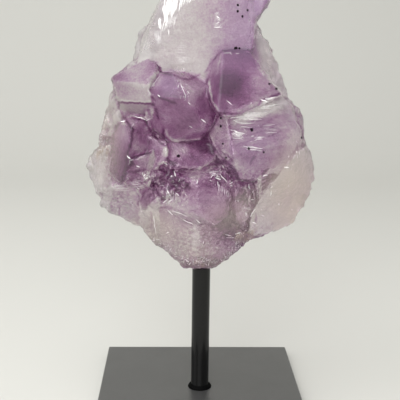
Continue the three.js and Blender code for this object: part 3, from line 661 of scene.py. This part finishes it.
def amethyst():
    material, nodes, shader = new_material("amethyst")
    purple, warmth, frost = nodes.split_attribute("zoning_and_shade")
    haze, stain, wear_and_highlight = nodes.split_attribute("marks")
    striation, grain, calm = nodes.split_attribute("surface")

    small = nodes.cloud(Scale=420, Detail=5, Distortion=0.4)
    lines = nodes.cloud(Scale=1100, Detail=2, Stretch=(0.12, 0.12, 1.0))
    specks = nodes.cloud(Scale=1000, Detail=4, Distortion=1.0)
    values = dict(
        broad=nodes.cloud(Scale=110, Detail=4, Distortion=0.3),
        small=small,
        fine=nodes.cloud(Scale=1500, Detail=3),
        growth=nodes.maths("MULTIPLY", striation, lines),
        speckle=nodes.maths("MULTIPLY", grain, specks),
        purple=purple,
        frost=frost,
        calm=calm,
    )
    mottle = nodes.maths("MULTIPLY", nodes.total(values, MOTTLE), nodes.total(values, UNCALMED, 1.0))
    deeper = nodes.maths("MULTIPLY", purple, nodes.maths("ADD", mottle, 1.0))
    showing = nodes.maths("MINIMUM", nodes.total(values, VEINS_SHOWING, VEINS_ON_CLEAR), 1.0)
    depth = nodes.maths("MULTIPLY_ADD", nodes.total(values, VEINS), showing, deeper)

    colour = nodes.mix(nodes.maths("MAXIMUM", warmth, 0.0), purple_ramp(nodes, depth), BEIGE)
    coolness = nodes.maths("MAXIMUM", nodes.maths("MULTIPLY", warmth, -1.0), 0.0)
    colour = nodes.mix(coolness, colour, VIOLET)
    upright = nodes.cloud(Scale=500, Detail=4, Stretch=(1.6, 1.0, 0.35))
    colour = nodes.mix(spotty(nodes, stain, upright, softness=0.25), colour, TAN)
    colour = nodes.mix(spotty(nodes, haze, small, softness=0.35), colour, WHITE)
    # Pale edges, partly wear and partly a painted highlight along the edges
    broken_wear_and_highlight = spotty(nodes, nodes.maths("MULTIPLY", wear_and_highlight, WEAR_AND_HIGHLIGHT_SPREAD), small, softness=0.3)
    colour = nodes.mix(nodes.maths("MULTIPLY", broken_wear_and_highlight, WEAR_AND_HIGHLIGHT_WHITENESS), colour, WHITE)

    absorption = nodes.add("ShaderNodeVolumeAbsorption")
    nodes.feed(absorption, Color=ABSORPTION, Density=ABSORPTION_DENSITY)
    nodes.feed(material.node_tree.nodes["Material Output"], Volume=absorption.outputs["Volume"])
    nodes.feed(
        shader,
        Base_Color=colour,
        Roughness=nodes.total(values, ROUGHNESS, SMOOTHEST),
        Normal=nodes.bump(nodes.total(values, RIPPLES), RIPPLE_STRENGTH, RIPPLE_DEPTH),
        Transmission_Weight=TRANSMISSION,
        IOR=QUARTZ_INDEX,
        Coat_Weight=nodes.total(values, COAT_LOSS, COAT),
        Coat_Roughness=COAT_ROUGHNESS,
    )
    return material


def frost_and_glint_white():
    """From dark where the attribute is -1 to white where it is 1."""
    material, nodes, shader = new_material("frost_and_glint_white")
    cloud = nodes.cloud(Scale=900, Detail=3)
    values = {"bright": nodes.split_attribute("bright")[0], "cloud": cloud}
    share = nodes.total(values, {"bright": 0.5, "cloud": 0.25}, 0.5)
    white = nodes.mix(share, (*linear(DARK), 1), WHITE)
    rough = nodes.total(values, {"cloud": 0.3}, 0.3)
    # The faint glow is painted light, which makes the white lines and glints shine
    nodes.feed(shader, Base_Color=white, Emission_Color=white, Emission_Strength=0.18, Roughness=rough)
    return material


def goethite():
    material, nodes, shader = new_material("goethite")
    values = {"cloud": nodes.cloud(Scale=1800, Detail=3)}
    base = nodes.mix(nodes.total(values, {"cloud": 2}, 0.2), GOETHITE_BLACK, GOETHITE_BROWN)
    nodes.feed(shader, Base_Color=base, Roughness=nodes.total(values, {"cloud": 0.4}, 0.6), IOR=1.2)
    return material


def black_paint(name, base, texture, depth, roughness, index):
    """Black powder coat: a fine orange peel, and a gloss that varies a little."""
    material, nodes, shader = new_material(name)
    grain = nodes.cloud(Scale=texture, Detail=2)
    patchy = nodes.cloud(Scale=60, Detail=4, Distortion=0.5)
    lighter = nodes.maths("MULTIPLY_ADD", nodes.maths("ADD", grain, patchy), 0.5, 0.2)
    share = nodes.maths("MULTIPLY", lighter, min(1, base * PAINT_VARIATION))
    nodes.feed(
        shader,
        Base_Color=nodes.mix(share, (base, base, base, 1), PAINT_LIGHT),
        Roughness=nodes.total({"patchy": patchy}, {"patchy": 0.06}, roughness),
        Normal=nodes.bump(grain, 0.5, depth),
        IOR=index,
    )
    return material


def coarse_stone():
    """The solid of the stone, with its corners joined."""
    mesh = bmesh.new()
    mesh.from_mesh(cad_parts[CLUSTER].data)
    bmesh.ops.remove_doubles(mesh, verts=mesh.verts, dist=JOIN_DISTANCE)
    mesh.faces.ensure_lookup_table()
    mesh.normal_update()
    return mesh


def facet_list():
    """Every named facet as its place, its purple and the number of its crystal; 0 is the rough rock."""
    facets = [((0, 0), 0.0, 0)]
    for number, crystal in enumerate(CRYSTALS.values(), start=1):
        facets += [((x, z), purple, number) for x, z, purple in crystal.values()]
    return facets


def number_facets(mesh, tree, facets):
    """The number of the named facet that each coarse face belongs to; the rough rock keeps 0."""
    numbers = np.zeros(len(mesh.faces), np.int32)
    for number, (place, _purple, _crystal) in enumerate(facets[1:], start=1):
        index = seen_on(tree, *place)[2]
        waiting = [] if index is None else [mesh.faces[index]]
        while waiting:
            face = waiting.pop()
            if numbers[face.index]:
                continue
            numbers[face.index] = number
            for edge in face.edges:
                for other in edge.link_faces:
                    if not numbers[other.index] and other.normal.angle(face.normal, math.pi) < SAME_FACET:
                        waiting.append(other)
    return numbers


def seen_on(tree, x, z):
    """The place, the normal and the face of a surface that show at [x, z] of the front view."""
    eye = EYE * MM
    place, normal, index, _distance = tree.ray_cast(eye, front(x, z) - eye)
    return place, normal, index


def fine_stone():
    """The stone as an even mesh of small cells."""
    copy = link(bpy.data.objects.new("stone_solid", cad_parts[CLUSTER].data.copy()))
    cells = copy.modifiers.new("cells", "REMESH")
    cells.mode = "VOXEL"
    cells.voxel_size = CELL
    graph = bpy.context.evaluated_depsgraph_get()
    data = bpy.data.meshes.new_from_object(copy.evaluated_get(graph))
    bpy.data.objects.remove(copy)
    data.name = "amethyst"
    return data


def rows(items, name, kind=np.float32, width=3):
    """One row of numbers for each item of a mesh."""
    values = np.empty(len(items) * width, kind)
    items.foreach_get(name, values)
    return values.reshape(-1, width)


def places_and_normals(data):
    return rows(data.vertices, "co").astype(float), rows(data.vertices, "normal").astype(float)


def move_to(data, places):
    data.vertices.foreach_set("co", places.astype(np.float32).ravel())
    data.update()


def spread(values, edges, rounds, share=0.5):
    """Moves each vertex's values towards the mean of it and its neighbours."""
    flat = values.reshape(len(values), -1)
    counts = 1 + np.bincount(edges.ravel(), minlength=len(flat))[:, None]
    for _round in range(rounds):
        total = flat.copy()
        np.add.at(total, edges[:, 0], flat[edges[:, 1]])
        np.add.at(total, edges[:, 1], flat[edges[:, 0]])
        flat = flat + share * (total / counts - flat)
    return flat.reshape(values.shape)


def seen_at(places):
    """The places [x, z] of the front view, in millimetres, where points of space show."""
    places = places / MM
    eye = np.array(EYE)
    share = -eye[1] / (places[:, 1] - eye[1])
    flat = eye + (places - eye) * share[:, None]
    return flat[:, [0, 2]]


def in_patches(patches, spots):
    """The sum of soft patches at places of the front view."""
    total = np.zeros(len(spots))
    for x, z, wide, tall, strength, *tilt in patches:
        angle = math.radians(tilt[0] if tilt else 0)
        away = spots - np.array((x, z))
        along = away[:, 0] * math.cos(angle) + away[:, 1] * math.sin(angle)
        across = away[:, 1] * math.cos(angle) - away[:, 0] * math.sin(angle)
        total += strength * np.exp(-((along / wide) ** 2 + (across / tall) ** 2) ** 1.5)
    return total


def share_in(patches, spots):
    return np.clip(in_patches(patches.values(), spots), 0, 1)


def entries_of(table):
    """The entries of all groups of a table, in their order."""
    return [entry for group in table.values() for entry in group]


def along_seams(seams, spots):
    """The sum of soft lines, which waver a little, at places of the front view."""
    swapped = spots[:, ::-1]
    for height, rate, shift in SEAM_WAVES:
        spots = spots + height * np.sin(swapped * rate + shift)
    total = np.zeros(len(spots))
    for reach, depth, *places in entries_of(seams):
        nearest = np.full(len(spots), np.inf)
        for start, end in zip(np.array(places), np.array(places[1:])):
            along = end - start
            share = np.clip((spots - start) @ along / (along @ along), 0, 1)
            away = np.linalg.norm(spots - start - share[:, None] * along, axis=1)
            nearest = np.minimum(nearest, away)
        total += depth * np.exp(-(nearest / reach) ** 2)
    return total


def purple_between(spots, facets):
    """The purple of what isn't a named facet, from the facets around it."""
    weights = np.zeros(len(spots))
    total = np.zeros(len(spots))
    for (x, z), purple, _crystal in facets[1:]:
        squared = (spots[:, 0] - x) ** 2 + (spots[:, 1] - z) ** 2
        nearness = np.exp(-squared / (2 * COLOUR_REACH ** 2)) + LEAST_NEARNESS
        weights += nearness
        total += nearness * purple
    return total / weights


def belongs_to(names, crystal):
    """Whether each vertex is on one of the named crystals."""
    numbers = [number for number, name in enumerate(CRYSTALS, start=1) if name in names]
    return np.isin(crystal, numbers)


def wear_edges(data, edges, crystal):
    """Wears all edges a little, and those of the soft crystals until they are only swells."""
    rounds = np.zeros(len(crystal))
    for name, most in SOFT_ROUNDS.items():
        rounds[belongs_to((name,), crystal)] = most
    rounds = spread(rounds, edges, SOFT_BLEND_ROUNDS)
    places = spread(rows(data.vertices, "co").astype(float), edges, EDGE_WEAR_ROUNDS)
    for done in range(max(SOFT_ROUNDS.values())):
        share = SOFT_SHARE * np.clip(rounds - done, 0, 1)
        places = spread(places, edges, 1, share[:, None])
    move_to(data, places)


def rim_share(data, edges, crystal):
    """How much of each vertex is on the chipped outer edge of one of the plates and flanks."""
    normals = places_and_normals(data)[1]
    sideways = np.clip(RIM_LEVEL - RIM_SLOPE * np.abs(normals[:, 1]), 0, 1)
    return spread(belongs_to(CHIPPED, crystal) * sideways, edges, ROCK_BLEND_ROUNDS)


def cell_distance(spot, size, measure):
    """The distance to the nearest of many scattered points, as a share of their spacing."""
    return noise.voronoi(TURN @ spot / size, distance_metric=measure)[0][0]


def ledge(place):
    """How far the stone is cut back below the next growth ledge above."""
    waver = LEDGE_WAVER * noise.noise(Vector(place) / LEDGE_LENGTH)
    height = (place[2] - LEDGE_TILT * place[0]) / LEDGE_SPACING + waver
    return (height - math.floor(height)) ** 2 * LEDGE_DEPTH


def roughen(data, softness):
    """Gentle waves on the crystal faces, growth ledges, drusy points, grit, and broken quartz."""
    places, normals = places_and_normals(data)
    spots = seen_at(places)
    facing = np.clip(-normals[:, 1], 0, 1)
    ledges = share_in(LEDGE_PATCHES, spots) * facing
    druse = share_in(DRUSE_PATCHES, spots) * facing
    steps = np.empty(len(places))
    points = np.empty(len(places))
    grit = np.empty(len(places))
    for i, place in enumerate(places / MM):
        spot = Vector(place)
        waves = noise.fractal(spot / WAVE_SIZE, *WAVE_NOISE) * WAVE_HEIGHT
        broken = noise.hetero_terrain(spot / ROCK_SIZE, *ROCK_NOISE) * ROCK_HEIGHT - ROCK_SINK
        points[i] = 1 - min(cell_distance(spot, POINT_SPACING, "CHEBYCHEV") / POINT_REACH, 1)
        grit[i] = min(cell_distance(spot, GRIT_SPACING, "DISTANCE"), 1) - GRIT_LEVEL
        steps[i] = waves + softness[i] * broken - ledges[i] * ledge(place)
        steps[i] += druse[i] * (points[i] - POINT_LEVEL) * POINT_HEIGHT
    steps -= grit * share_in(GRAINY_PATCHES, spots) * GRIT_HEIGHT
    move_to(data, places + normals * steps[:, None] * MM)
    return (points - POINT_LEVEL) * druse


def write_colours(data, name, channels):
    values = np.stack([*channels, np.ones(len(channels[0]))], axis=1)
    layer = data.color_attributes.new(name, "FLOAT_COLOR", "POINT")
    layer.data.foreach_set("color", values.astype(np.float32).ravel())


def sunk(places, normals, edges, rounds, share=0.5):
    """How far each vertex lies below what is around it, in millimetres."""
    return ((spread(places, edges, rounds, share) - places) * normals).sum(1) / MM


def paint(data, edges, facets, facet, crystal, peaks):
    """Writes the purple, the tints, the marks and the texture of the stone at each vertex."""
    places, normals = places_and_normals(data)
    spots = seen_at(places)
    backness = np.clip((places[:, 1] / MM - BACK_START) / BACK_REACH, 0, 1)
    frontness = 1 - backness
    wear_and_highlight_share = np.where(belongs_to(UNWORN_UNHIGHLIGHTED, crystal), UNWORN_UNHIGHLIGHTED_SHARE, 1)

    own = np.array([purple for _place, purple, _crystal in facets])
    purple = np.where(facet > 0, own[facet], purple_between(spots, facets) + ROCK_PURPLE)
    within = edges[crystal[edges[:, 0]] == crystal[edges[:, 1]]]
    purple = spread(purple, within, COLOUR_BLEND_ROUNDS)
    # A few of the soft patches are painted shade or painted light
    purple += in_patches(entries_of(PURPLE_PATCHES), spots)
    # Painted shade: the purple deepens in hollows, and pales a little on swells as a painted highlight
    purple += sum(
        np.clip(sunk(places, normals, edges, rounds), least * wear_and_highlight_share, most) * deeper
        for rounds, least, most, deeper in HOLLOW_SHADE
    )
    purple += PURPLE_LIFT - peaks * PEAK_PALENESS
    # Some seams are painted shade, and the pale seams paint light along edges
    purple += along_seams(SEAMS, spots) * SEAM_DEPTH + along_seams(PALE_SEAMS, spots) * PALE_SEAM_DEPTH
    purple *= 1 - BACK_PALENESS * backness
    warmth = in_patches(BEIGE_PATCHES.values(), spots) - in_patches(VIOLET_PATCHES.values(), spots)
    warmth = np.clip(warmth * frontness + BACK_WARMTH * backness, -1, 1)
    frost = np.where(crystal > 0, CRYSTAL_FROST, ROCK_FROST)
    write_colours(data, "zoning_and_shade", (np.clip(purple, 0, DEEPEST), warmth, frost))

    haze = in_patches(HAZE_PATCHES.values(), spots) * frontness
    stain = in_patches(STAIN_PATCHES.values(), spots) * frontness
    # Pale convex edges: partly wear, partly a painted highlight
    bulge = spread(-sunk(places, normals, edges, 1, 1.0), edges, 1)
    wear_and_highlight = np.clip(bulge * WEAR_AND_HIGHLIGHT_GAIN - WEAR_AND_HIGHLIGHT_START, 0, 1) * wear_and_highlight_share
    wear_and_highlight *= 1 - DRUSE_WEAR_AND_HIGHLIGHT_LOSS * share_in(DRUSE_PATCHES, spots)
    write_colours(data, "marks", (haze, stain, wear_and_highlight))

    striation = share_in(STRIATED_PATCHES, spots) * frontness
    grain = np.maximum(share_in(GRAINY_PATCHES, spots), (crystal == 0) * ROCK_GRAIN)
    write_colours(data, "surface", (striation, grain, share_in(CALM_PATCHES, spots)))


def make_stone():
    """Makes the stone and returns its surface, for the pieces that lie on it."""
    coarse = coarse_stone()
    tree = BVHTree.FromBMesh(coarse)
    facets = facet_list()
    coarse_facets = number_facets(coarse, tree, facets)
    data = fine_stone()
    edges = rows(data.edges, "vertices", np.int32, 2)
    facet = coarse_facets[[tree.find_nearest(vertex.co)[2] for vertex in data.vertices]]
    crystal = np.array([number for _place, _purple, number in facets])[facet]
    wear_edges(data, edges, crystal)
    rock = spread((crystal == 0).astype(float), edges, ROCK_BLEND_ROUNDS)
    peaks = roughen(data, np.maximum(rock, rim_share(data, edges, crystal)))
    paint(data, edges, facets, facet, crystal, peaks)
    data.shade_smooth()
    data.materials.clear()
    data.materials.append(amethyst())
    stone = link(bpy.data.objects.new("amethyst", data))
    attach(stone, "root")
    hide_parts(CLUSTER)
    return BVHTree.FromPolygons(
        [vertex.co for vertex in data.vertices],
        [face.vertices for face in data.polygons],
    )


def half_width(spot, share, width):
    """Half the width of a bright line at a share of its length: thin at its ends, and a little uneven."""
    uneven = noise.noise(Vector((spot.x, spot.y, LINE_UNEVEN_LEVEL)) * LINE_UNEVEN_RATE)
    thick = 1 + LINE_UNEVENNESS * uneven
    along = LINE_TIP + (1 - 2 * LINE_TIP) * share
    return 0.5 * width * MM * thick * math.sin(math.pi * along) ** LINE_FULLNESS


def line_sections(surface, start, end, width):
    """The place, the normal and half the width at each step of a line, or nothing where it breaks off."""
    pieces = max(2, math.ceil((end - start).length / LINE_STEP))
    waver = (end - start).normalized().orthogonal() * LINE_WAVER
    sections = []
    for i in range(pieces + 1):
        share = i / pieces
        spot = start.lerp(end, share)
        spot += waver * noise.noise(Vector((spot.x, spot.y, 0)) * LINE_WAVER_RATE)
        place, normal, _index = seen_on(surface, *spot)
        if place is None or (sections and (place - sections[-1][0]).length > LINE_JUMP):
            return []
        sections.append((place, normal, half_width(spot, share, width)))
    return sections


def add_line(mesh, surface, start, end, width, bright):
    """A low ridge along the surface, widest at its middle, that wavers a little."""
    layer = mesh.loops.layers.float_color.get("bright") or mesh.loops.layers.float_color.new("bright")
    sections = line_sections(surface, Vector(start), Vector(end), width)
    previous = None
    for i, (place, normal, half) in enumerate(sections):
        ahead = sections[min(i + 1, len(sections) - 1)][0] - sections[max(i - 1, 0)][0]
        side = ahead.cross(normal).normalized() * half
        crest = normal * (SURFACE_LIFT + 0.5 * half)
        corners = [mesh.verts.new(place + step) for step in (-side, crest, side)]
        if previous:
            for j in (0, 1):
                face = mesh.faces.new((previous[j], previous[j + 1], corners[j + 1], corners[j]))
                for loop in face.loops:
                    loop[layer] = (bright, bright, bright, 1)
        previous = corners


def add_bundles(mesh, surface, chance):
    for first, second, third, fourth, count, width, bright in BUNDLES.values():
        for i in range(count):
            share = (i + chance.uniform(0.1, 0.9)) / count
            start = Vector(first).lerp(Vector(second), share)
            end = Vector(third).lerp(Vector(fourth), share + chance.uniform(-0.5, 0.5) / count)
            head, tail = chance.uniform(0, 0.25), chance.uniform(0.7, 1)
            thick = width * chance.uniform(0.6, 1.3)
            glow = bright * chance.uniform(0.7, 1.1)
            add_line(mesh, surface, start.lerp(end, head), start.lerp(end, tail), thick, glow)


def add_chips(mesh, surface, chance):
    for x, z, wide, tall, count, *tilt in CHIPS.values():
        turn = Matrix.Rotation(math.radians(tilt[0] if tilt else 0), 2)
        for _chip in range(count):
            away = Vector([chance.gauss(0, CHIP_SPREAD) * reach for reach in (wide, tall)])
            start = Vector((x, z)) + turn @ away
            heading = Matrix.Rotation(chance.uniform(0, math.pi), 2) @ Vector((1, 0))
            end = start + heading * chance.uniform(0.5, 1.5)
            width = chance.uniform(0.1, 0.28)
            bright = chance.uniform(-0.9, 0.5)
            add_line(mesh, surface, start, end, width, bright)


# The white lines of cracks and growth steps, the painted highlights and the small scars, as one piece
def make_frost_and_glint_lines(surface):
    chance = random.Random(FROST_SEED)
    mesh = bmesh.new()
    add_bundles(mesh, surface, chance)
    for x, z, end_x, end_z, width, bright in entries_of(GLINTS):
        add_line(mesh, surface, (x, z), (end_x, end_z), width, bright)
    add_chips(mesh, surface, chance)
    bmesh.ops.recalc_face_normals(mesh, faces=mesh.faces)
    add_piece("frost_and_glint_lines", mesh, frost_and_glint_white())


def make_goethite(surface):
    """Small dark grains, half sunk in the faces."""
    chance = random.Random(GRAIN_SEED)
    mesh = bmesh.new()
    for x, z, size in GRAINS:
        place, normal, _index = seen_on(surface, x, z)
        if place is None:
            continue
        grain = bmesh.ops.create_icosphere(mesh, subdivisions=2, radius=1)
        turn = normal.to_track_quat("Z", "Y").to_matrix().to_4x4()
        half = GRAIN_HALF * size
        place = place + normal * half * GRAIN_RISE
        shape = Matrix.Diagonal((half, half * chance.uniform(0.8, 1.2), half * GRAIN_HEIGHT, 1))
        for vertex in grain["verts"]:
            vertex.co *= 1 + GRAIN_LUMPS * noise.noise(vertex.co * 2 + place * GRAIN_SHIFT)
        bmesh.ops.transform(mesh, verts=grain["verts"], matrix=Matrix.Translation(place) @ turn @ shape)
    add_piece("goethite_grains", mesh, goethite())


def add_piece(name, mesh, material):
    data = bpy.data.meshes.new(name)
    mesh.to_mesh(data)
    mesh.free()
    data.materials.append(material)
    piece = link(bpy.data.objects.new(name, data))
    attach(piece, "root")


def finish_stand():
    paints = {
        "base_plate": black_paint(
            "plate_black", base=0.05, texture=1400, depth=0.01 * MM, roughness=0.36, index=2.1),
        "post": black_paint(
            "post_black", base=0.004, texture=1400, depth=0.03 * MM, roughness=0.17, index=1.36),
        "weld_bead": black_paint(
            "weld_black", base=0.0005, texture=700, depth=0.4 * MM, roughness=0.7, index=1.15),
    }
    for name, paint_of_node in paints.items():
        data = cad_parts[name].data
        data.materials.clear()
        data.materials.append(paint_of_node)


def make_floor():
    """A floor that bends up into a wall, in metres."""
    mesh = bmesh.new()
    profile = [(-FLOOR_HALF, 0.0), (BEND_START, 0.0)]
    for step in range(1, BEND_STEPS + 1):
        angle = math.radians(90 * step / BEND_STEPS)
        profile.append((BEND_START + BEND_RADIUS * math.sin(angle), BEND_RADIUS * (1 - math.cos(angle))))
    profile.append((BEND_START + BEND_RADIUS, WALL_TOP))
    lines = [[mesh.verts.new((x, y, z)) for y, z in profile] for x in (-FLOOR_HALF, FLOOR_HALF)]
    for i in range(len(profile) - 1):
        mesh.faces.new((lines[0][i], lines[1][i], lines[1][i + 1], lines[0][i + 1])).smooth = True
    data = bpy.data.meshes.new("floor")
    mesh.to_mesh(data)
    mesh.free()
    material, nodes, shader = new_material("pale_floor")
    nodes.feed(shader, Base_Color=FLOOR_COLOUR, Roughness=0.8)
    data.materials.append(material)
    floor = link(bpy.data.objects.new("floor", data))


def area_light(name, place, size, power):
    data = bpy.data.lights.new(name, "AREA")
    data.shape = "RECTANGLE"
    data.size, data.size_y = size
    data.energy = power
    lamp = link(bpy.data.objects.new(name, data))
    lamp.location = place
    direction = Vector(LIT_PLACE) - Vector(place)
    lamp.rotation_euler = direction.to_track_quat("-Z", "Y").to_euler()


def light_the_room():
    """A plain pale room with soft lights."""
    SCENE.view_settings.view_transform = "Standard"
    world = bpy.data.worlds.new("room")
    world.use_nodes = True
    nodes = Nodes(world.node_tree)
    nodes.feed(world.node_tree.nodes["Background"], Color=ROOM_COLOUR, Strength=ROOM_STRENGTH)
    SCENE.world = world
    for name, (place, size, power) in LIGHTS.items():
        area_light(name, place, size, power)


CLOUD = cloud_group()
make_camera()
stone_surface = make_stone()
make_frost_and_glint_lines(stone_surface)
make_goethite(stone_surface)
finish_stand()
make_floor()
light_the_room()
